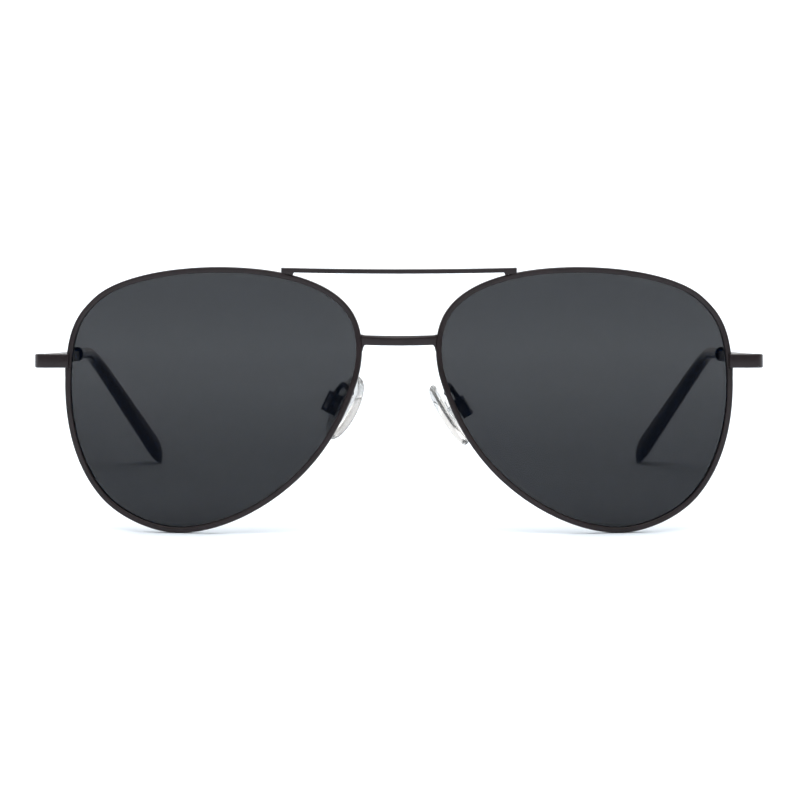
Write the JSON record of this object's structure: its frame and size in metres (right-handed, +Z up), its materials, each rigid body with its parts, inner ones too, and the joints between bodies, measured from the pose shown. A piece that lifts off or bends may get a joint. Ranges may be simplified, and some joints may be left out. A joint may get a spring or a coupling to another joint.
{
  "type": "aviator sunglasses",
  "caption": "Thin metal aviator sunglasses with dark teardrop lenses, a brow bar, rocking nose pads and temples that fold on hinges.",
  "frame": {"origin": "on the floor under the middle of the open glasses' bounding box", "axes": "+X towards the wearer's left, +Y from the lenses back to the temple tips, +Z up"},
  "size_m": [0.1464, 0.1376, 0.0536],
  "materials": {
    "frame_metal": "satin",
    "screw_steel": "satin",
    "lens_tint": "gloss",
    "clear_silicone": "satin",
    "clear_insert": "gloss",
    "tip_plastic": "gloss"
  },
  "bodies": {
    "front": {"rim_left": "frame_metal", "rim_right": "frame_metal", "lens_left": "lens_tint", "lens_right": "lens_tint", "brow_bar": "frame_metal", "bridge": "frame_metal", "rim_lock_upper_left": "frame_metal", "rim_lock_upper_right": "frame_metal", "rim_lock_lower_left": "frame_metal", "rim_lock_lower_right": "frame_metal", "rim_lock_screw_left": "screw_steel", "rim_lock_screw_right": "screw_steel", "endpiece_left": "frame_metal", "endpiece_right": "frame_metal", "hinge_front_leaf_left": "frame_metal", "hinge_front_leaf_right": "frame_metal", "hinge_screw_left": "screw_steel", "hinge_screw_right": "screw_steel", "pad_arm_left": "frame_metal", "pad_arm_right": "frame_metal", "pad_box_left": "frame_metal", "pad_box_right": "frame_metal", "pad_screw_left": "screw_steel", "pad_screw_right": "screw_steel"},
    "temple_left": {"temple_arm_left": "frame_metal", "temple_tip_left": "tip_plastic", "hinge_temple_leaf_left": "frame_metal"},
    "temple_right": {"temple_arm_right": "frame_metal", "temple_tip_right": "tip_plastic", "hinge_temple_leaf_right": "frame_metal"},
    "nose_pad_left_body": {"nose_pad_left": "clear_silicone", "pad_insert_left": "clear_insert"},
    "nose_pad_right_body": {"nose_pad_right": "clear_silicone", "pad_insert_right": "clear_insert"}
  },
  "joints": [
    {"name": "temple_left_fold", "type": "hinge", "parent": "front", "child": "temple_left", "pos_m": [0.0705, -0.0523, 0.0339], "axis": [0, 0.068, 0.9977], "range_deg": [0, 85]},
    {"name": "temple_right_fold", "type": "hinge", "parent": "front", "child": "temple_right", "pos_m": [-0.0705, -0.0523, 0.0339], "axis": [0, -0.068, -0.9977], "range_deg": [0, 77]},
    {"name": "nose_pad_left_rock", "type": "hinge", "parent": "front", "child": "nose_pad_left_body", "pos_m": [0.01299, -0.0576, 0.02496], "axis": [-0.1187, -0.9903, -0.0727], "range_deg": [-8, 8]},
    {"name": "nose_pad_right_rock", "type": "hinge", "parent": "front", "child": "nose_pad_right_body", "pos_m": [-0.01354, -0.05911, 0.02588], "axis": [-0.5047, 0.829, 0.2407], "range_deg": [-8, 8]}
  ]
}
